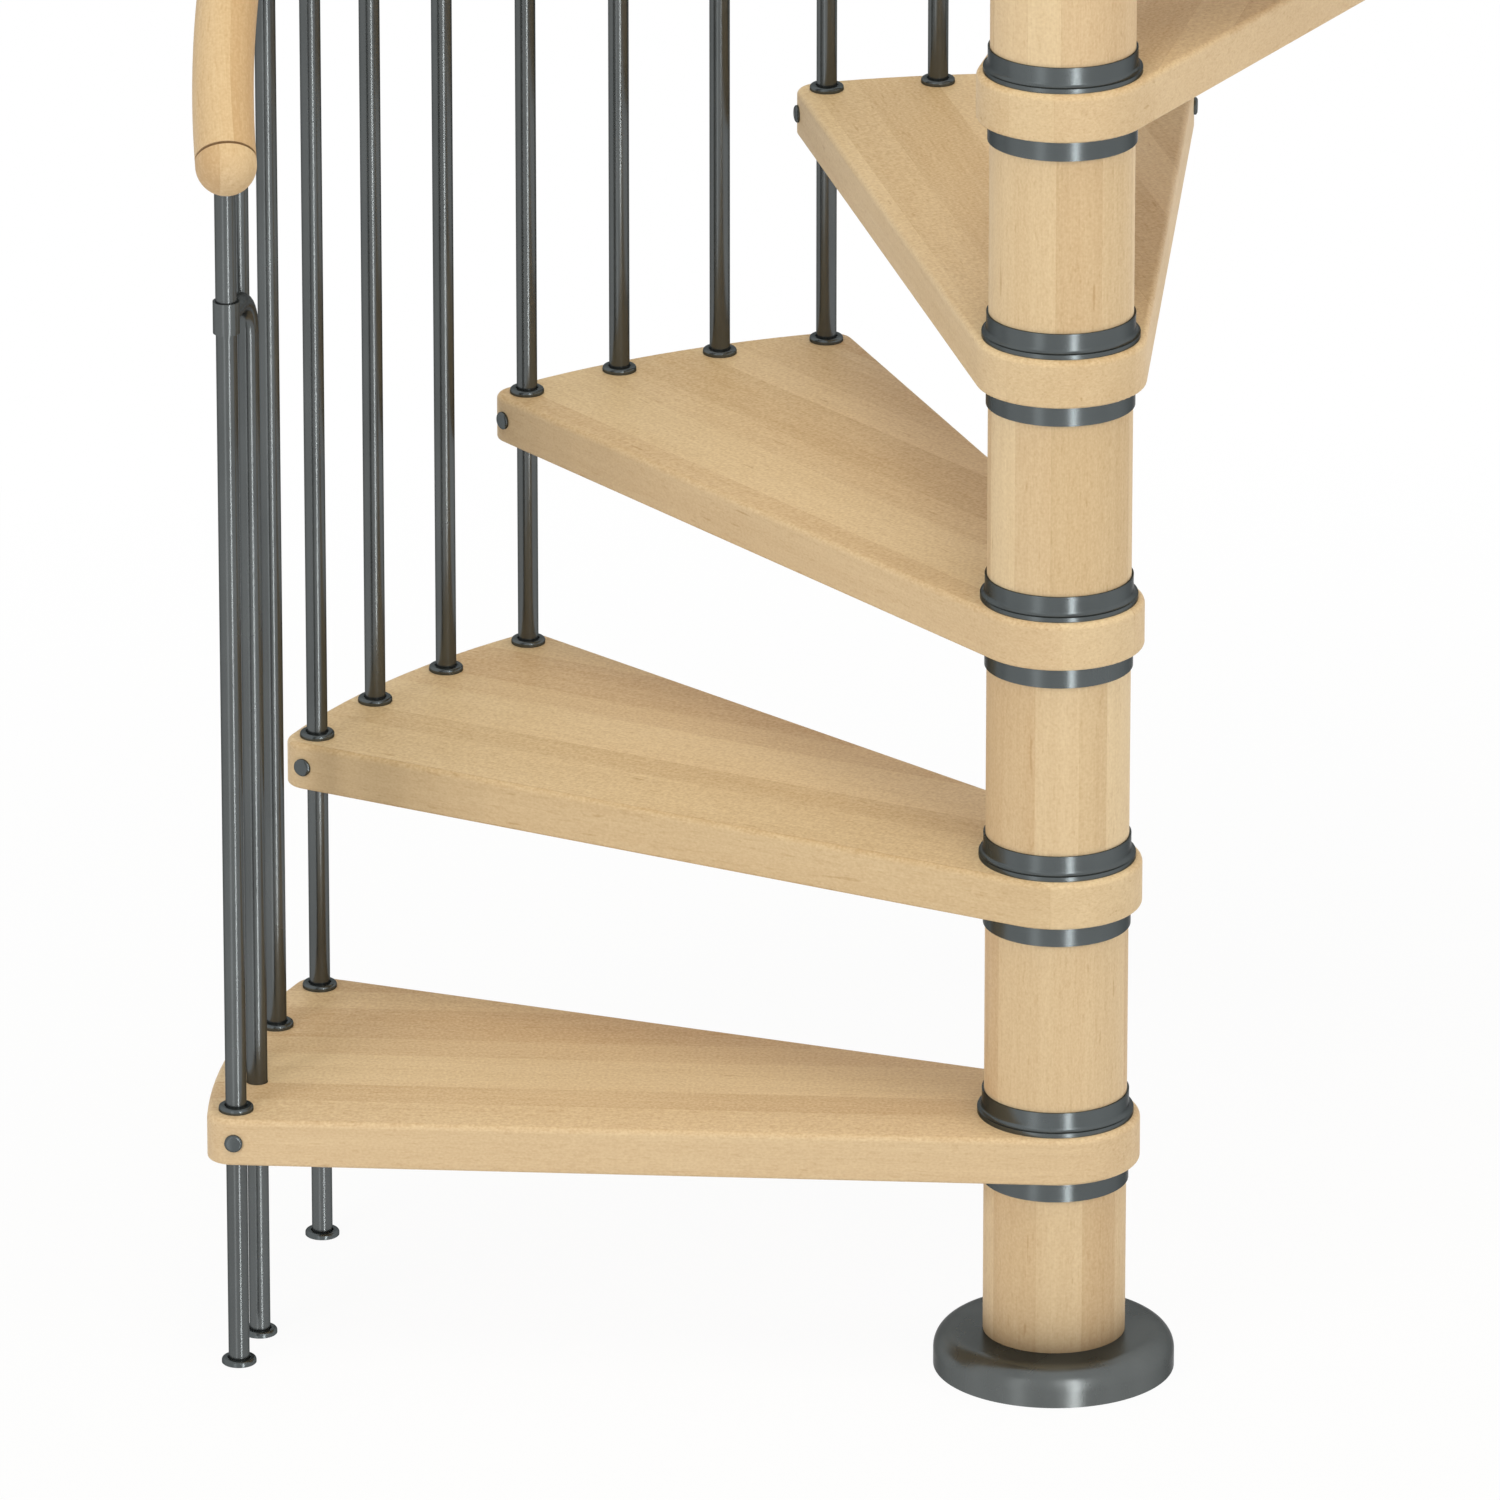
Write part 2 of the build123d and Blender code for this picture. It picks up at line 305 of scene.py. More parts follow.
class NodeMaker:
    """Adds nodes to one tree, each input given as a value or as a socket to link."""

    def __init__(self, tree):
        self.tree = tree

    def give(self, socket, value):
        """Link a socket or set its value."""
        if isinstance(value, bpy.types.NodeSocket):
            self.tree.links.new(value, socket)
        else:
            socket.default_value = value

    def add(self, kind, inputs=None, **settings):
        """New node of a kind with its settings and its inputs by name or number."""
        node = self.tree.nodes.new(kind)
        for name, value in settings.items():
            setattr(node, name, value)
        for key, value in (inputs or {}).items():
            self.give(node.inputs[key], value)
        return node

    def math(self, operation, *values, clamp=False):
        """Result of one step of arithmetic."""
        inputs = dict(enumerate(values))
        return self.add("ShaderNodeMath", inputs, operation=operation, use_clamp=clamp).outputs[0]

    def vector_math(self, operation, first, second):
        """Result of one step of arithmetic on vectors."""
        node = self.add("ShaderNodeVectorMath", {0: first, 1: second}, operation=operation)
        return node.outputs[0]

    def turned(self, vector, angle):
        """Vector turned about Z."""
        node = self.add(
            "ShaderNodeVectorRotate", {"Vector": vector, "Angle": angle}, rotation_type="Z_AXIS"
        )
        return node.outputs[0]

    def join(self, x, y, z):
        """Vector from three numbers."""
        return self.add("ShaderNodeCombineXYZ", {0: x, 1: y, 2: z}).outputs[0]

    def polar(self, radius, angle, height):
        """Vector from a radius, a plan angle and a height."""
        across = self.math("MULTIPLY", radius, self.math("COSINE", angle))
        away = self.math("MULTIPLY", radius, self.math("SINE", angle))
        return self.join(across, away, height)

    def split(self, vector):
        """Three numbers of a vector."""
        return self.add("ShaderNodeSeparateXYZ", {0: vector}).outputs

    def span(self, value, low, high, to_low, to_high):
        """Value mapped from one span to another and held there."""
        node = self.add(
            "ShaderNodeMapRange", {0: value, 1: low, 2: high, 3: to_low, 4: to_high}, clamp=True
        )
        return node.outputs[0]

    def noise(self, vector, detail, roughness=0.5):
        """Noise value at a vector that already carries its scale."""
        node = self.add(
            "ShaderNodeTexNoise",
            {"Vector": vector, "Scale": 1.0, "Detail": detail, "Roughness": roughness},
        )
        return node.outputs[0]

    def mix(self, share, first, second, blend="MIX"):
        """Colour between two colours."""
        node = self.add("ShaderNodeMix", data_type="RGBA", blend_type=blend, clamp_factor=True)
        self.give(node.inputs[0], share)
        self.give(node.inputs[6], first)
        self.give(node.inputs[7], second)
        return node.outputs[2]


number_sockets = {float: "NodeSocketFloat", int: "NodeSocketInt"}
finish_outputs = {
    "Colour": "NodeSocketColor",
    "Roughness": "NodeSocketFloat",
    "Height": "NodeSocketFloat",
}
shape_outputs = {"Geometry": "NodeSocketGeometry"}


def group_tree(name, kind, inputs, outputs):
    """Empty node group with named sockets, and its input and output nodes.
    An input is given as its default number or as its kind of socket."""
    tree = bpy.data.node_groups.new(name, kind)
    for label, default in inputs.items():
        socket_type = number_sockets.get(type(default), default)
        socket = tree.interface.new_socket(label, in_out="INPUT", socket_type=socket_type)
        if type(default) in number_sockets:
            socket.default_value = default
    for label, socket_type in outputs.items():
        tree.interface.new_socket(label, in_out="OUTPUT", socket_type=socket_type)
    return tree, tree.nodes.new("NodeGroupInput").outputs, tree.nodes.new("NodeGroupOutput").inputs


def beech_grain():
    """Laminated beech: staves of their own tone and width, streaks, fine speckle and short flecks.
    The grain vector runs along the fibres in X, across the staves in Y and through them in Z."""
    if "beech_grain" in bpy.data.node_groups:
        return bpy.data.node_groups["beech_grain"]
    tree, given, result = group_tree(
        "beech_grain", "ShaderNodeTree",
        {
            "Grain Vector": "NodeSocketVector",
            "Seed": 0.0,
            "Stave Width": 0.06,
            "Stave Contrast": 0.4,
            "Depth": 0.44,
            "Speckle": 0.6,
            "Pale": "NodeSocketColor",
            "Deep": "NodeSocketColor",
            "Rosy": "NodeSocketColor",
            "Roughness": 0.45,
        },
        finish_outputs,
    )
    make = NodeMaker(tree)
    along, across, through = make.split(given["Grain Vector"])
    shifted = make.math("MULTIPLY_ADD", given["Seed"], 0.0237, across)
    sway = make.math("SINE", make.math("MULTIPLY", shifted, 61.0))
    swing = make.math("MULTIPLY", given["Stave Width"], 0.16)
    uneven = make.math("MULTIPLY_ADD", sway, swing, shifted)
    staves = make.math("DIVIDE", uneven, given["Stave Width"])
    stave = make.math("FLOOR", staves)
    within = make.math("SUBTRACT", staves, stave)
    chance = make.add(
        "ShaderNodeTexWhiteNoise",
        {"Vector": make.join(stave, given["Seed"], 0.0)}, noise_dimensions="2D",
    )
    tint = make.split(chance.outputs[1])
    order = make.math("MULTIPLY_ADD", stave, 0.618, make.math("MULTIPLY", given["Seed"], 0.836))
    tone = make.math("FRACT", order)
    moved = make.join(
        make.math("MULTIPLY_ADD", tint[0], 4.0, along),
        make.math("MULTIPLY_ADD", tint[1], 2.0, across),
        make.math("MULTIPLY_ADD", tint[2], 2.0, through),
    )

    def layer(scale, detail, roughness=0.5):
        return make.noise(make.vector_math("MULTIPLY", bent, scale), detail, roughness)

    def part(value, share):
        return make.math("MULTIPLY", make.math("SUBTRACT", value, 0.5), share)

    warp = make.noise(make.vector_math("MULTIPLY", moved, (2.2, 9.0, 9.0)), 1.0)
    bent = make.vector_math("ADD", moved, make.join(0.0, part(warp, 0.012), 0.0))
    cloud = layer((3.0, 26.0, 26.0), 2.0)
    streak = layer((5.0, 170.0, 170.0), 3.0, 0.6)
    fibre = layer((60.0, 900.0, 900.0), 2.0)
    speckle = layer((380.0, 340.0, 600.0), 1.0)
    flecks = make.span(layer((95.0, 420.0, 420.0), 0.0), 0.66, 0.78, 0.0, 1.0)
    marks = make.span(layer((38.0, 240.0, 240.0), 0.0), 0.80, 0.86, 0.0, 1.0)
    off_middle = make.math("ABSOLUTE", make.math("SUBTRACT", within, 0.5))
    glue = make.span(off_middle, 0.488, 0.5, 0.0, 1.0)
    depth = make.math("ADD", part(tone, given["Stave Contrast"]), given["Depth"])
    for value, share in ((cloud, 0.30), (streak, 0.34), (fibre, 0.28), (speckle, given["Speckle"])):
        depth = make.math("ADD", depth, part(value, share))
    for value, share in ((flecks, 0.14), (marks, 0.35), (glue, 0.06)):
        depth = make.math("MULTIPLY_ADD", value, share, depth)
    warmth = make.math("MULTIPLY", tint[1], 0.55)
    deep = make.mix(warmth, given["Deep"], given["Rosy"])
    make.give(result["Colour"], make.mix(depth, given["Pale"], deep))
    make.give(result["Roughness"], make.math("ADD", given["Roughness"], part(streak, 0.22)))
    relief = make.math("MULTIPLY_ADD", flecks, -0.5, part(fibre, 0.6))
    relief = make.math("MULTIPLY_ADD", glue, -0.6, relief)
    make.give(result["Height"], make.math("ADD", relief, 0.5))
    return tree


def satin_coat():
    """Sprayed satin coating: faint cloudiness, fine peel and a roughness that wanders."""
    if "satin_coat" in bpy.data.node_groups:
        return bpy.data.node_groups["satin_coat"]
    tree, given, result = group_tree(
        "satin_coat", "ShaderNodeTree",
        {
            "Vector": "NodeSocketVector",
            "Colour": "NodeSocketColor",
            "Roughness": 0.3,
            "Peel Scale": 900.0,
        },
        finish_outputs,
    )
    make = NodeMaker(tree)
    cloud = make.noise(make.vector_math("MULTIPLY", given["Vector"], (22.0, 22.0, 9.0)), 3.0)
    scaled = make.add(
        "ShaderNodeVectorMath", {0: given["Vector"], 3: given["Peel Scale"]}, operation="SCALE"
    )
    peel = make.noise(scaled.outputs[0], 1.0)
    dust = make.noise(make.vector_math("MULTIPLY", given["Vector"], (1500.0,) * 3), 0.0)
    speck = make.span(dust, 0.62, 0.75, 0.0, 1.0)
    lighter = make.mix(0.35, given["Colour"], white, "SOFT_LIGHT")
    darker = make.mix(1.0, given["Colour"], (0.80, 0.80, 0.80, 1.0), "MULTIPLY")
    colour = make.mix(make.span(cloud, 0.3, 0.7, 0.0, 1.0), darker, given["Colour"])
    colour = make.mix(make.math("MULTIPLY", speck, 0.2), colour, lighter)
    make.give(result["Colour"], colour)
    wander = make.math("MULTIPLY", make.math("SUBTRACT", cloud, 0.5), 0.16)
    make.give(result["Roughness"], make.math("ADD", given["Roughness"], wander))
    make.give(result["Height"], peel)
    return tree


def new_material(name):
    """Empty node material: its maker and its Principled shader."""
    material = bpy.data.materials.new(name)
    material.use_nodes = True
    tree = material.node_tree
    tree.nodes.clear()
    make = NodeMaker(tree)
    shader = make.add("ShaderNodeBsdfPrincipled")
    make.add("ShaderNodeOutputMaterial", {"Surface": shader.outputs[0]})
    return material, make, shader


def object_vector(make):
    """Object coordinates, which are the staircase's own."""
    return make.add("ShaderNodeTexCoord").outputs["Object"]


def stored_grain(make):
    """Grain coordinates that the handrail's meshes carry."""
    node = make.add("ShaderNodeAttribute", attribute_type="GEOMETRY", attribute_name="grain")
    return node.outputs["Vector"]


def feed(make, shader, group, strength, distance):
    """Link a finish to a shader, its height by way of a bump."""
    bump = make.add(
        "ShaderNodeBump",
        {"Strength": strength, "Distance": distance, "Height": group.outputs["Height"]},
    )
    make.give(shader.inputs["Base Color"], group.outputs["Colour"])
    make.give(shader.inputs["Roughness"], group.outputs["Roughness"])
    make.give(shader.inputs["Normal"], bump.outputs[0])


def grained(make, shader, look, grain, seed, stave, contrast, depth, speckle):
    """Feed a shader with laminated beech read along a grain vector, and give the wood's colour."""
    inputs = {
        "Grain Vector": grain, "Seed": seed, "Stave Width": stave, "Stave Contrast": contrast,
        "Depth": depth, "Speckle": speckle, "Pale": look.pale, "Deep": look.deep,
        "Rosy": look.rosy, "Roughness": look.roughness,
    }
    group = make.add("ShaderNodeGroup", inputs, node_tree=beech_grain())
    feed(make, shader, group, strength=0.35, distance=0.0004)
    shader.inputs["Specular IOR Level"].default_value = 0.16
    return group.outputs["Colour"]


def faint_speckle(look):
    """Strength of the speckle on a tread's sides and on turned wood."""
    return 0.5 * look.speckle


def tread_beech(look, sizes):
    """Beech of the treads: staves lie along each tread's front edge."""
    material, make, shader = new_material("beech_treads")
    place = object_vector(make)
    height = make.split(place)[2]
    number = make.math("ROUND", make.math("DIVIDE", height, sizes.rise))
    front = sizes.first_tread_angle + sizes.step_angle + sizes.tread_taper / 2
    turn = make.math("SUBTRACT", make.math("MULTIPLY", number, sizes.step_angle), front)
    grain = make.turned(place, turn)
    seed = make.math("ADD", number, 99.0)
    below = make.math("SUBTRACT", make.math("MULTIPLY", number, sizes.rise), height)
    over = make.math("SUBTRACT", sizes.tread_thickness, below)
    below_top = make.span(below, 0.001, 0.005, 0.0, 1.0)
    over_underside = make.span(over, 0.0005, 0.0025, 0.0, 1.0)
    on_side = make.math("MINIMUM", below_top, over_underside)
    contrast = make.span(on_side, 0.0, 1.0, look.tread_contrast, look.side_contrast)
    speckle = make.span(on_side, 0.0, 1.0, look.speckle, faint_speckle(look))
    grained(make, shader, look, grain, seed, look.tread_stave, contrast, look.depth, speckle)
    return material


def sleeve_beech(look, sizes):
    """Beech of the turned sleeves: upright staves, each sleeve turned from its own block.
    The lowest one darkens toward its foot with painted shade, where it stands in the base cover."""
    material, make, shader = new_material("beech_sleeves")
    place = object_vector(make)
    height = make.split(place)[2]
    number = make.math("FLOOR", make.math("DIVIDE", height, sizes.rise))
    turn = make.math("MULTIPLY", number, 1.37)
    across, through, up = make.split(make.turned(place, turn))
    grain = make.join(up, across, through)
    seed = make.math("ADD", number, 20.0)
    wood = grained(
        make, shader, look, grain, seed,
        look.turned_stave, look.turned_contrast, look.depth, faint_speckle(look),
    )
    # Painted shade: the wood darkens toward the seam colour near the base cover's top, fading out
    # over about the fade height above it.
    fade_height = 0.019
    sunk = make.math("DIVIDE", make.math("SUBTRACT", base_top, height), fade_height)
    painted_shade_mask = make.math("MULTIPLY", make.math("EXPONENT", sunk), look.painted_foot_shade, clamp=True)
    make.give(shader.inputs["Base Color"], make.mix(painted_shade_mask, wood, look.seam))
    return material


def rail_beech(look):
    """Beech of the handrail and its ends: staves follow the rail by its grain attribute."""
    material, make, shader = new_material("beech_handrail")
    grained(
        make, shader, look, stored_grain(make), 64.0,
        look.turned_stave, look.rail_contrast, look.rail_depth, faint_speckle(look),
    )
    return material


def seam_beech(look):
    """Dark groove of a turned joint, with the grain's streaks still in it."""
    material, make, shader = new_material("beech_seam")
    streak = make.noise(make.vector_math("MULTIPLY", stored_grain(make), (60.0, 300.0, 300.0)), 2.0)
    streak_colour = (0.230, 0.140, 0.070, 1.0)
    colour = make.mix(streak, look.seam, streak_colour)
    make.give(shader.inputs["Base Color"], colour)
    make.give(shader.inputs["Roughness"], make.span(streak, 0.3, 0.7, 0.6, 0.8))
    shader.inputs["Specular IOR Level"].default_value = 0.2
    return material


def coated(name, colour, roughness, peel, metallic=0.85, relief=0.03):
    """Satin grey finish for the steel and for the moulded pieces."""
    material, make, shader = new_material(name)
    place = object_vector(make)
    inputs = {"Vector": place, "Colour": colour, "Roughness": roughness, "Peel Scale": peel}
    group = make.add("ShaderNodeGroup", inputs, node_tree=satin_coat())
    feed(make, shader, group, strength=relief, distance=0.0002)
    shader.inputs["Metallic"].default_value = metallic
    shader.inputs["Specular Tint"].default_value = (0.30, 0.30, 0.30, 1.0)
    return material


def dress(material, *starts):
    """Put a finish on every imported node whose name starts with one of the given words."""
    found = [o for name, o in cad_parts.items() if name.startswith(starts)]
    if not found:
        raise RuntimeError(f"no packed node starts with {starts}")
    for node in found:
        if not node.material_slots:
            node.data.materials.append(None)
        for slot in node.material_slots:
            slot.material = material


def turned_mesh(name, outline, segments, materials=None):
    """Mesh turned about Z from radius and height pairs, closed where the radius is zero.
    Each pair may carry the number of the finish of the band that ends at it."""
    vertices = []
    rows = []
    for radius, height, *_ in outline:
        if radius == 0.0:
            rows.append([len(vertices)] * segments)
            vertices.append((0.0, 0.0, height))
            continue
        rows.append(list(range(len(vertices), len(vertices) + segments)))
        for step in range(segments):
            turn = 2 * pi * step / segments
            vertices.append((radius * cos(turn), radius * sin(turn), height))
    faces = []
    finishes = []
    for row in range(1, len(rows)):
        finish = outline[row][2] if len(outline[row]) > 2 else 0
        for step in range(segments):
            ahead = (step + 1) % segments
            corners = [rows[row - 1][step], rows[row - 1][ahead], rows[row][ahead], rows[row][step]]
            faces.append(list(dict.fromkeys(corners)))
            finishes.append(finish)
    mesh = bpy.data.meshes.new(name)
    mesh.from_pydata(vertices, [], faces)
    for face, finish in zip(mesh.polygons, finishes):
        face.material_index = finish
        face.use_smooth = True
    for material in materials or []:
        mesh.materials.append(material)
    mesh.set_sharp_from_angle(angle=sharp_edge)
    mesh.update()
    return mesh


def rounded(radius, height, size, steps):
    """Radius and height pairs round a quarter turn whose centre is given."""
    turns = [pi / 2 * step / steps for step in range(steps + 1)]
    return [(radius + size * cos(turn), height + size * sin(turn)) for turn in turns]


def set_copies(name, one, places):
    """Mesh of one mesh's copies, each set at a place."""
    vertices = []
    faces = []
    for place in places:
        start = len(vertices)
        vertices += [place @ vertex.co for vertex in one.vertices]
        faces += [[start + corner for corner in face.vertices] for face in one.polygons]
    mesh = bpy.data.meshes.new(name)
    mesh.from_pydata(vertices, [], faces)
    return mesh


def new_piece(name, mesh):
    """Object at the origin for a finished mesh."""
    piece = bpy.data.objects.new(name, mesh)
    bpy.context.scene.collection.objects.link(piece)
    return piece


def set_input(modifier, label, value):
    """Set a named input of a Geometry Nodes modifier by its identifier."""
    for item in modifier.node_group.interface.items_tree:
        if item.item_type == "SOCKET" and item.in_out == "INPUT" and item.name == label:
            modifier[item.identifier] = value
            return
    raise RuntimeError(f"{modifier.node_group.name} has no input {label}")


def grown(name, tree, values):
    """Plain mesh piece that a Geometry Nodes tree gives with the named values."""
    holder = bpy.data.objects.new(name + ".holder", bpy.data.meshes.new(name + ".holder"))
    bpy.context.scene.collection.objects.link(holder)
    modifier = holder.modifiers.new(name, "NODES")
    modifier.node_group = tree
    for label, value in values.items():
        set_input(modifier, label, value)
    bpy.context.view_layer.update()
    graph = bpy.context.evaluated_depsgraph_get()
    mesh = bpy.data.meshes.new_from_object(holder.evaluated_get(graph), depsgraph=graph)
    holder.modifiers.remove(modifier)
    old = holder.data
    bpy.data.objects.remove(holder)
    bpy.data.meshes.remove(old)
    if not mesh.polygons:
        raise RuntimeError(f"{name} came out empty")
    mesh.name = name
    return new_piece(name, mesh)


def finish_piece(piece, slot, *nodes):
    """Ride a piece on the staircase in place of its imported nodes."""
    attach(piece, "root")
    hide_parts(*nodes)


def captured(make, curve, kind, label, value):
    """Node that keeps a value at each point of a curve."""
    node = make.add("GeometryNodeCaptureAttribute", {"Geometry": curve}, domain="POINT")
    node.capture_items.new(kind, label)
    make.give(node.inputs[label], value)
    return node


def end_tree(make, result, geometry, finish):
    """End a tree in plain geometry with its finish."""
    plain = make.add("GeometryNodeRealizeInstances", {"Geometry": geometry})
    dressed = make.add(
        "GeometryNodeSetMaterial", {"Geometry": plain.outputs[0], "Material": finish}
    )
    make.give(result["Geometry"], dressed.outputs[0])


def rail_tree():
    """Round rail along a helix, with its own grain coordinates stored on it."""
    tree, given, result = group_tree(
        "handrail_path", "GeometryNodeTree",
        {
            "Circle": 0.676,
            "Start Angle": 0.0,
            "End Angle": 0.0,
            "Start Height": 0.0,
            "End Height": 1.0,
            "Diameter": 0.05,
            "Path Points": 200,
            "Sides": rail_sides,
            "Finish": "NodeSocketMaterial",
        },
        shape_outputs,
    )
    make = NodeMaker(tree)
    line = make.add("GeometryNodeCurvePrimitiveLine")
    path = make.add(
        "GeometryNodeResampleCurve", {"Curve": line.outputs[0], "Count": given["Path Points"]}
    )
    share = make.add("GeometryNodeSplineParameter").outputs["Factor"]
    turn = make.math("SUBTRACT", given["End Angle"], given["Start Angle"])
    angle = make.math("ADD", given["Start Angle"], make.math("MULTIPLY", share, turn))
    climb = make.math("SUBTRACT", given["End Height"], given["Start Height"])
    height = make.math("ADD", given["Start Height"], make.math("MULTIPLY", share, climb))
    place = make.polar(given["Circle"], angle, height)
    helix = make.add("GeometryNodeSetPosition", {"Geometry": path.outputs[0], "Position": place})
    upright = make.add("GeometryNodeSetCurveNormal", {"Curve": helix.outputs[0]})
    upright.mode = "Z_UP"
    length = make.add("GeometryNodeSplineParameter").outputs["Length"]
    on_path = captured(make, upright.outputs[0], "FLOAT", "Along", length)
    ring = make.add(
        "GeometryNodeCurvePrimitiveCircle",
        {"Resolution": given["Sides"], "Radius": make.math("MULTIPLY", given["Diameter"], 0.5)},
    )
    position = make.add("GeometryNodeInputPosition").outputs[0]
    on_ring = captured(make, ring.outputs[0], "VECTOR", "Section", position)
    rail = make.add(
        "GeometryNodeCurveToMesh",
        {"Curve": on_path.outputs[0], "Profile Curve": on_ring.outputs[0], "Fill Caps": True},
    )
    side, rise, _ = make.split(on_ring.outputs["Section"])
    stored = make.add(
        "GeometryNodeStoreNamedAttribute",
        {"Geometry": rail.outputs[0], "Name": "grain"},
        data_type="FLOAT_VECTOR", domain="POINT",
    )
    vector_input = [s for s in stored.inputs if s.name == "Value" and s.enabled][0]
    make.give(vector_input, make.join(on_path.outputs["Along"], side, rise))
    end_tree(make, result, stored.outputs[0], given["Finish"])
    return tree


def rosette_tree():
    """Rosettes on the treads: one at each of a tread's tubes and one at the next tread's first."""
    tree, given, result = group_tree(
        "rosettes_on_treads", "GeometryNodeTree",
        {
            "Treads": 6,
            "Tubes per Tread": 3,
            "Rise": 0.225,
            "Step Angle": 0.43,
            "First Angle": 3.2,
            "Circle": 0.676,
            "Rosette": "NodeSocketObject",
            "Finish": "NodeSocketMaterial",
        },
        shape_outputs,
    )
    make = NodeMaker(tree)
    places = make.math("ADD", given["Tubes per Tread"], 1.0)
    count = make.math("MULTIPLY", given["Treads"], places)
    points = make.add("GeometryNodePoints", {"Count": count})
    index = make.add("GeometryNodeInputIndex").outputs[0]
    tread = make.math("FLOOR", make.math("DIVIDE", make.math("ADD", index, 0.5), places))
    place = make.math("SUBTRACT", index, make.math("MULTIPLY", tread, places))
    tube = make.math("ADD", make.math("MULTIPLY", tread, given["Tubes per Tread"]), place)
    steps = make.math("DIVIDE", tube, given["Tubes per Tread"])
    turn = make.math("MULTIPLY", steps, given["Step Angle"])
    angle = make.math("SUBTRACT", given["First Angle"], turn)
    height = make.math("MULTIPLY", make.math("ADD", tread, 1.0), given["Rise"])
    spot = make.polar(given["Circle"], angle, height)
    moved = make.add("GeometryNodeSetPosition", {"Geometry": points.outputs[0], "Position": spot})
    shape = make.add("GeometryNodeObjectInfo", {"Object": given["Rosette"]})
    copies = make.add(
        "GeometryNodeInstanceOnPoints",
        {"Points": moved.outputs[0], "Instance": shape.outputs["Geometry"]},
    )
    end_tree(make, result, copies.outputs[0], given["Finish"])
    return tree


def screw_cap_tree():
    """Screw caps on the front and the rear edge of each tread, beside its tubes."""
    tree, given, result = group_tree(
        "screw_caps_on_edges", "GeometryNodeTree",
        {
            "Treads": 6,
            "Rise": 0.225,
            "Thickness": 0.04,
            "Step Angle": 0.43,
            "First Tread Angle": 3.0,
            "Taper": 0.3,
            "Hub Radius": 0.07,
            "Circle": 0.676,
            "Cap": "NodeSocketObject",
            "Finish": "NodeSocketMaterial",
        },
        shape_outputs,
    )
    make = NodeMaker(tree)
    points = make.add("GeometryNodePoints", {"Count": make.math("MULTIPLY", given["Treads"], 2.0)})
    index = make.add("GeometryNodeInputIndex").outputs[0]
    tread = make.math("FLOOR", make.math("DIVIDE", make.math("ADD", index, 0.5), 2.0))
    side = make.math("SUBTRACT", 1.0, make.math("MULTIPLY", make.math("MODULO", index, 2.0), 2.0))
    half_taper = make.math("MULTIPLY", given["Taper"], 0.5)
    aside = make.math("SUBTRACT", make.math("MULTIPLY", given["Step Angle"], 0.5), half_taper)
    along = make.math("MULTIPLY", given["Circle"], make.math("COSINE", aside))
    edge = make.math("MULTIPLY", side, given["Hub Radius"])
    height = make.math("MULTIPLY", make.math("ADD", tread, 1.0), given["Rise"])
    height = make.math("SUBTRACT", height, make.math("MULTIPLY", given["Thickness"], 0.5))
    climbed = make.math("MULTIPLY", tread, given["Step Angle"])
    centre = make.math("SUBTRACT", given["First Tread Angle"], climbed)
    turn = make.math("ADD", centre, make.math("MULTIPLY", side, half_taper))
    spot = make.turned(make.join(along, edge, height), turn)
    moved = make.add("GeometryNodeSetPosition", {"Geometry": points.outputs[0], "Position": spot})
    reversed_turn = make.math("MULTIPLY", make.math("SUBTRACT", 1.0, side), pi / 2)
    outward = make.math("ADD", turn, reversed_turn)
    facing = make.add("FunctionNodeEulerToRotation", {0: make.join(-pi / 2, 0.0, outward)})
    shape = make.add("GeometryNodeObjectInfo", {"Object": given["Cap"]})
    copies = make.add(
        "GeometryNodeInstanceOnPoints",
        {
            "Points": moved.outputs[0],
            "Instance": shape.outputs["Geometry"],
            "Rotation": facing.outputs[0],
        },
    )
    end_tree(make, result, copies.outputs[0], given["Finish"])
    return tree


def rosette_mesh(sizes, finish):
    """One rosette: rounded rim, flat top and a small chamfer round the tube."""
    clearance, foot, chamfer, rim = 0.0003, 0.0005, 0.0008, 0.0026
    outer = sizes.rosette_diameter / 2
    bore = sizes.tube_diameter / 2 + clearance
    top = sizes.rosette_height
    outline = [(bore, 0.0), (outer - foot, 0.0), (outer, foot)]
    outline += rounded(outer - rim, top - rim, rim, 8)
    outline += [(bore + chamfer, top), (bore, top - chamfer), (bore, 0.0)]
    return turned_mesh("rosette", outline, small_sides, [finish])


def screw_cap_mesh(sizes, finish):
    """One screw cap: flat face, wide bevel and a short straight side."""
    outer = sizes.screw_cap_diameter / 2
    top = sizes.screw_cap_height
    bevel = ((0.0, 0.0014), (0.0004, 0.0008), (0.0016, 0.0001), (0.0020, 0.0))
    outline = [(0.0, 0.0), (outer, 0.0)]
    outline += [(outer - inset, top - drop) for inset, drop in bevel] + [(0.0, top)]
    return turned_mesh("screw_cap", outline, small_sides, [finish])


class STAIR_OT_treads(bpy.types.Operator):
    """Give the treads their laminated beech"""

    bl_idname = "stair.treads"
    bl_label = "Treads"

    def execute(self, context):
        scene = context.scene
        dress(tread_beech(scene.stair_beech, scene.stair_sizes), "tread_")
        return {"FINISHED"}


class STAIR_OT_column(bpy.types.Operator):
    """Give the sleeves, rings, base, cap and pole their finishes"""

    bl_idname = "stair.column"
    bl_label = "Column"

    def execute(self, context):
        scene = context.scene
        steel = scene.stair_steel
        dress(sleeve_beech(scene.stair_beech, scene.stair_sizes), "column_sleeve_")
        moulding = coated("satin_moulding", steel.moulding, steel.roughness, peel=1300.0)
        dress(moulding, "upper_ring_", "lower_ring_", "column_cap")
        dress(coated("satin_base", steel.base, steel.base_roughness, peel=800.0), "base_cover")
        pole = coated("bare_pole", steel.bare, steel.bare_roughness, peel=500.0, metallic=1.0)
        dress(pole, "centre_pole")
        return {"FINISHED"}


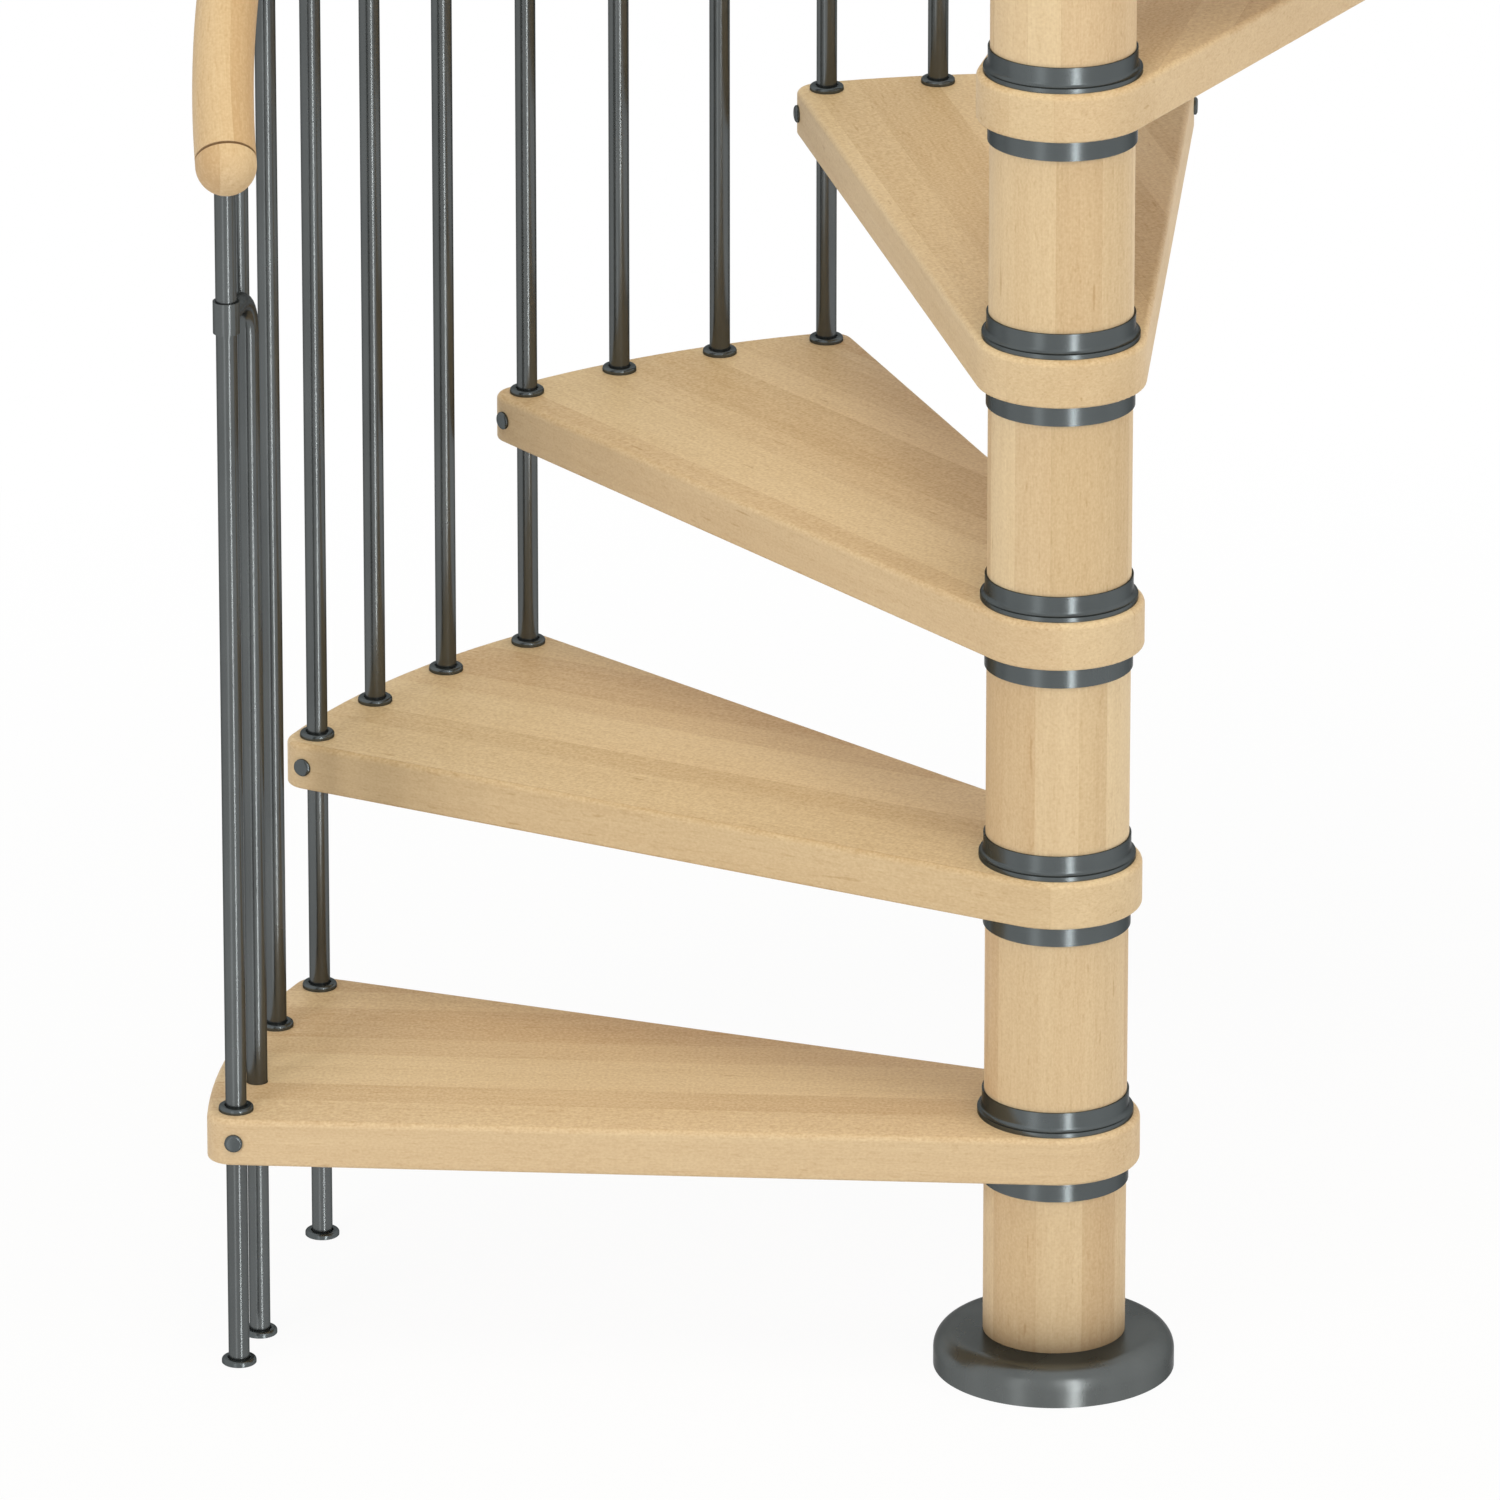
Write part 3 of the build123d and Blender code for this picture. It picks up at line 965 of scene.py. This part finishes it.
class STAIR_OT_balusters(bpy.types.Operator):
    """Give the tubes, the brace and its collar their satin coating"""

    bl_idname = "stair.balusters"
    bl_label = "Balusters"

    def execute(self, context):
        steel = context.scene.stair_steel
        tubes = coated("satin_tubes", steel.coating, steel.roughness, peel=900.0, relief=0.003)
        dress(tubes, "balusters_", "rear_floor_post", "start_brace", "brace_collar")
        return {"FINISHED"}


class STAIR_OT_rosettes(bpy.types.Operator):
    """Set a rosette at the foot of every tube, on the treads and on the floor"""

    bl_idname = "stair.rosettes"
    bl_label = "Rosettes"

    def execute(self, context):
        sizes = context.scene.stair_sizes
        finish = bpy.data.materials["satin_moulding"]
        first = first_tube_angle(sizes)
        pattern = new_piece("rosette_pattern", rosette_mesh(sizes, finish))
        on_treads = grown(
            "rosettes_on_treads", rosette_tree(),
            {
                "Treads": sizes.treads,
                "Tubes per Tread": sizes.balusters_per_tread,
                "Rise": sizes.rise,
                "Step Angle": sizes.step_angle,
                "First Angle": first,
                "Circle": sizes.baluster_circle,
                "Rosette": pattern,
                "Finish": finish,
            },
        )
        finish_piece(on_treads, "grey_moulding", "baluster_flanges")
        brace_circle = sizes.baluster_circle - sizes.brace_inset
        spots = [
            polar(sizes.baluster_circle, first),
            polar(brace_circle, first - sizes.brace_offset / brace_circle),
            polar(sizes.baluster_circle, first - sizes.step_angle),
        ]
        on_floor = floor_rosettes(sizes, spots, finish)
        finish_piece(on_floor, "grey_moulding", "floor_flanges")
        bpy.data.objects.remove(pattern)
        return {"FINISHED"}


def floor_rosettes(sizes, spots, finish):
    """Rosettes at the feet of the tubes that stand on the floor, joined in one mesh."""
    places = [Matrix.Translation(spot) for spot in spots]
    mesh = set_copies("rosettes_on_floor", rosette_mesh(sizes, finish), places)
    mesh.shade_smooth()
    mesh.set_sharp_from_angle(angle=sharp_edge)
    mesh.materials.append(finish)
    return new_piece("rosettes_on_floor", mesh)


class STAIR_OT_screw_caps(bpy.types.Operator):
    """Set the screw caps on the edges of the treads"""

    bl_idname = "stair.screw_caps"
    bl_label = "Screw caps"

    def execute(self, context):
        sizes = context.scene.stair_sizes
        finish = bpy.data.materials["satin_moulding"]
        pattern = new_piece("screw_cap_pattern", screw_cap_mesh(sizes, finish))
        caps = grown(
            "screw_caps_on_edges", screw_cap_tree(),
            {
                "Treads": sizes.treads,
                "Rise": sizes.rise,
                "Thickness": sizes.tread_thickness,
                "Step Angle": sizes.step_angle,
                "First Tread Angle": sizes.first_tread_angle,
                "Taper": sizes.tread_taper,
                "Hub Radius": sizes.hub_radius,
                "Circle": sizes.baluster_circle,
                "Cap": pattern,
                "Finish": finish,
            },
        )
        finish_piece(caps, "grey_moulding", "screw_caps")
        bpy.data.objects.remove(pattern)
        return {"FINISHED"}


class STAIR_OT_handrail(bpy.types.Operator):
    """Run the handrail along the flight and close its ends"""

    bl_idname = "stair.handrail"
    bl_label = "Handrail"

    def execute(self, context):
        sizes = context.scene.stair_sizes
        look = context.scene.stair_beech
        finish = rail_beech(look)
        first = first_tube_angle(sizes)
        past = sizes.handrail_overhang / sizes.baluster_circle
        start = first + past
        end = first - sizes.treads * sizes.step_angle - past
        rail = grown(
            "handrail_beech", rail_tree(),
            {
                "Circle": sizes.baluster_circle,
                "Start Angle": start,
                "End Angle": end,
                "Start Height": rail_height(sizes, start),
                "End Height": rail_height(sizes, end),
                "Diameter": sizes.handrail_diameter,
                "Finish": finish,
            },
        )
        rail.data.shade_smooth()
        rail.data.set_sharp_from_angle(angle=radians(40))
        finish_piece(rail, "beech", "handrail")
        ends = rail_ends(sizes, (start, end), [finish, seam_beech(look)])
        finish_piece(ends, "beech", "handrail_end_caps")
        return {"FINISHED"}


def rail_height(sizes, angle):
    """Height of the handrail's axis at a plan angle."""
    climbed = (first_tube_angle(sizes) - angle) / sizes.step_angle
    return sizes.rise + sizes.handrail_height + sizes.rise * climbed


def step_length(sizes):
    """Length of the handrail over one tread."""
    run = sizes.baluster_circle * sizes.step_angle
    return sqrt(run * run + sizes.rise * sizes.rise)


def rail_axes(sizes, angle):
    """Level, raised and forward directions of the rail at a plan angle, with their place."""
    run = sizes.baluster_circle * sizes.step_angle
    forward = Vector((sin(angle) * run, -cos(angle) * run, sizes.rise)) / step_length(sizes)
    level = Vector((0.0, 0.0, 1.0)).cross(forward).normalized()
    raised = forward.cross(level)
    axes = Matrix((level, raised, forward)).transposed().to_4x4()
    axes.translation = polar(sizes.baluster_circle, angle, rail_height(sizes, angle))
    return axes


def rail_ends(sizes, angles, finishes):
    """Domed ends of the rail, each with a dark groove where it meets the rail."""
    radius = sizes.handrail_diameter / 2
    neck = sizes.end_neck
    groove = sizes.seam_width
    groove_depth = 0.0010
    in_groove = radius - groove_depth
    outline = [(0.0, 0.0), (in_groove, 0.0), (in_groove, groove * 0.55, 1), (radius, groove, 1)]
    outline += [(radius, neck)] + rounded(0.0, neck, radius, 22)[1:-1] + [(0.0, neck + radius)]
    one = turned_mesh("rail_end", outline, rail_sides)
    rail_length = step_length(sizes) * abs(angles[1] - angles[0]) / sizes.step_angle
    places = []
    grain = []
    for angle, sense, start in zip(angles, (-1.0, 1.0), (0.0, rail_length)):
        places.append(rail_axes(sizes, angle) @ Matrix.Diagonal((sense, 1.0, sense, 1.0)))
        for vertex in one.vertices:
            side, rise, along = vertex.co
            grain += [start + along * sense, side * sense, rise]
    mesh = set_copies("handrail_ends", one, places)
    for finish in finishes:
        mesh.materials.append(finish)
    finish_numbers = [face.material_index for face in one.polygons] * len(places)
    mesh.polygons.foreach_set("material_index", finish_numbers)
    stored = mesh.attributes.new("grain", "FLOAT_VECTOR", "POINT")
    stored.data.foreach_set("vector", grain)
    mesh.shade_smooth()
    mesh.set_sharp_from_angle(angle=sharp_edge)
    return new_piece("handrail_ends", mesh)


def softbox(name, place, target, width, height, power, colour=(1.0, 1.0, 1.0), gloss=False):
    """Rectangular lamp that faces a point: soft light or, with gloss, a streak in shiny faces."""
    lamp = bpy.data.lights.new(name, "AREA")
    lamp.shape = "RECTANGLE"
    lamp.size = width
    lamp.size_y = height
    lamp.energy = power
    lamp.color = colour
    holder = bpy.data.objects.new(name, lamp)
    holder.location = place
    holder.rotation_euler = (Vector(target) - Vector(place)).to_track_quat("-Z", "Y").to_euler()
    holder.visible_camera = False
    holder.visible_glossy = gloss
    holder.visible_diffuse = not gloss
    bpy.context.scene.collection.objects.link(holder)


def seen_share(make):
    """One for camera, glossy and transmission rays, else nought."""
    path = make.add("ShaderNodeLightPath")
    seen = make.math("ADD", path.outputs["Is Camera Ray"], path.outputs["Is Glossy Ray"])
    return make.math("ADD", seen, path.outputs["Is Transmission Ray"], clamp=True)


def floor_finish(look):
    """Pale matt floor that looks white and still takes the soft shadow."""
    material, make, shader = new_material("pale_floor")
    place = object_vector(make)
    mottle = make.noise(make.vector_math("MULTIPLY", place, (3.0, 3.0, 3.0)), 2.0)
    colour = make.mix(make.span(mottle, 0.3, 0.7, 0.0, 0.04), look.floor, (0.84, 0.84, 0.84, 1.0))
    make.give(shader.inputs["Base Color"], colour)
    shader.inputs["Roughness"].default_value = 0.9
    shader.inputs["Specular IOR Level"].default_value = 0.0
    glow = make.add("ShaderNodeEmission", {"Color": white, "Strength": 1.0})
    apart = make.add("ShaderNodeVectorMath", {0: place}, operation="LENGTH").outputs["Value"]
    near, far, near_share = 0.9, 2.4, 0.945
    share = make.math("MULTIPLY", seen_share(make), make.span(apart, near, far, near_share, 1.0))
    both = make.add("ShaderNodeMixShader", {0: share, 1: shader.outputs[0], 2: glow.outputs[0]})
    out = [n for n in make.tree.nodes if n.type == "OUTPUT_MATERIAL"][0]
    make.give(out.inputs["Surface"], both.outputs[0])
    return material


def white_world(look):
    """Even studio light, seen as plain white."""
    world = bpy.data.worlds.new("studio")
    world.use_nodes = True
    world.node_tree.nodes.clear()
    make = NodeMaker(world.node_tree)
    light = make.add("ShaderNodeBackground", {"Color": white, "Strength": look.sky})
    seen = make.add("ShaderNodeBackground", {"Color": white, "Strength": 1.0})
    share = seen_share(make)
    both = make.add("ShaderNodeMixShader", {0: share, 1: light.outputs[0], 2: seen.outputs[0]})
    make.add("ShaderNodeOutputWorld", {"Surface": both.outputs[0]})
    bpy.context.scene.world = world


class STAIR_OT_stage(bpy.types.Operator):
    """Set the floor, the soft light and the camera"""

    bl_idname = "stair.stage"
    bl_label = "Stage"

    def execute(self, context):
        scene = context.scene
        look = scene.stair_stage
        half, gap = 120.0, 0.0005
        mesh = bpy.data.meshes.new("floor")
        mesh.from_pydata(
            [(-half, -half, 0.0), (half, -half, 0.0), (half, half, 0.0), (-half, half, 0.0)],
            [], [(0, 1, 2, 3)],
        )
        mesh.materials.append(floor_finish(look))
        floor = new_piece("floor", mesh)
        floor.location.z = -gap
        floor.visible_glossy = False
        white_world(look)
        middle, foot = (0.0, 0.0, 0.6), (0.0, 0.0, 0.2)
        softbox("overhead", (0.2, -1.5, 4.5), middle, 2.4, 2.4, look.overhead, look.overhead_colour)
        softbox("rear", (0.0, 1.6, 4.6), middle, 2.4, 2.0, look.rear, look.overhead_colour)
        softbox("left", (-3.0, -3.8, 2.4), middle, 2.0, 2.0, look.left)
        softbox("right", (3.8, -0.9, 1.8), middle, 2.0, 2.6, look.right)
        softbox("key_strip", (1.25, -3.0, 0.2), foot, 0.30, 5.0, look.key, gloss=True)
        softbox("fill_strip", (-1.75, -2.9, 0.2), foot, 0.80, 5.0, look.fill, gloss=True)
        camera = bpy.data.cameras.new("camera")
        camera.sensor_width = 36.0
        camera.lens = look.lens
        camera.clip_end = 400.0
        holder = bpy.data.objects.new("camera", camera)
        holder.location = look.camera_place
        holder.rotation_euler = (pi / 2 - look.camera_tilt, 0.0, look.camera_turn)
        scene.collection.objects.link(holder)
        scene.camera = holder
        scene.view_settings.view_transform = "Standard"
        return {"FINISHED"}


class STAIR_PT_pieces(bpy.types.Panel):
    """Lists the staircase's pieces and its values"""

    bl_idname = "STAIR_PT_pieces"
    bl_label = "Spiral Staircase"
    bl_space_type = "VIEW_3D"
    bl_region_type = "UI"
    bl_category = "Staircase"

    def draw(self, context):
        for operator in operators:
            self.layout.operator(operator.bl_idname)
        for group in value_groups:
            values = getattr(context.scene, group)
            column = self.layout.column(align=True)
            for name in values.__annotations__:
                column.prop(values, name)


operators = (
    STAIR_OT_stage,
    STAIR_OT_treads,
    STAIR_OT_column,
    STAIR_OT_balusters,
    STAIR_OT_rosettes,
    STAIR_OT_screw_caps,
    STAIR_OT_handrail,
)
value_groups = {
    "stair_sizes": StairSizes,
    "stair_beech": BeechLook,
    "stair_steel": SteelLook,
    "stair_stage": StageLook,
}
classes = (*value_groups.values(), *operators, STAIR_PT_pieces)


def register():
    """Register every class and the values on the scene."""
    for item in classes:
        bpy.utils.register_class(item)
    for name, group in value_groups.items():
        setattr(bpy.types.Scene, name, bpy.props.PointerProperty(type=group))


def unregister():
    """Take the values and the classes away again."""
    for name in value_groups:
        delattr(bpy.types.Scene, name)
    for item in reversed(classes):
        bpy.utils.unregister_class(item)


def main():
    """Make every piece in order."""
    register()
    bpy.ops.stair.stage()
    bpy.ops.stair.treads()
    bpy.ops.stair.column()
    bpy.ops.stair.balusters()
    bpy.ops.stair.rosettes()
    bpy.ops.stair.screw_caps()
    bpy.ops.stair.handrail()


if __name__ == "__main__":
    main()
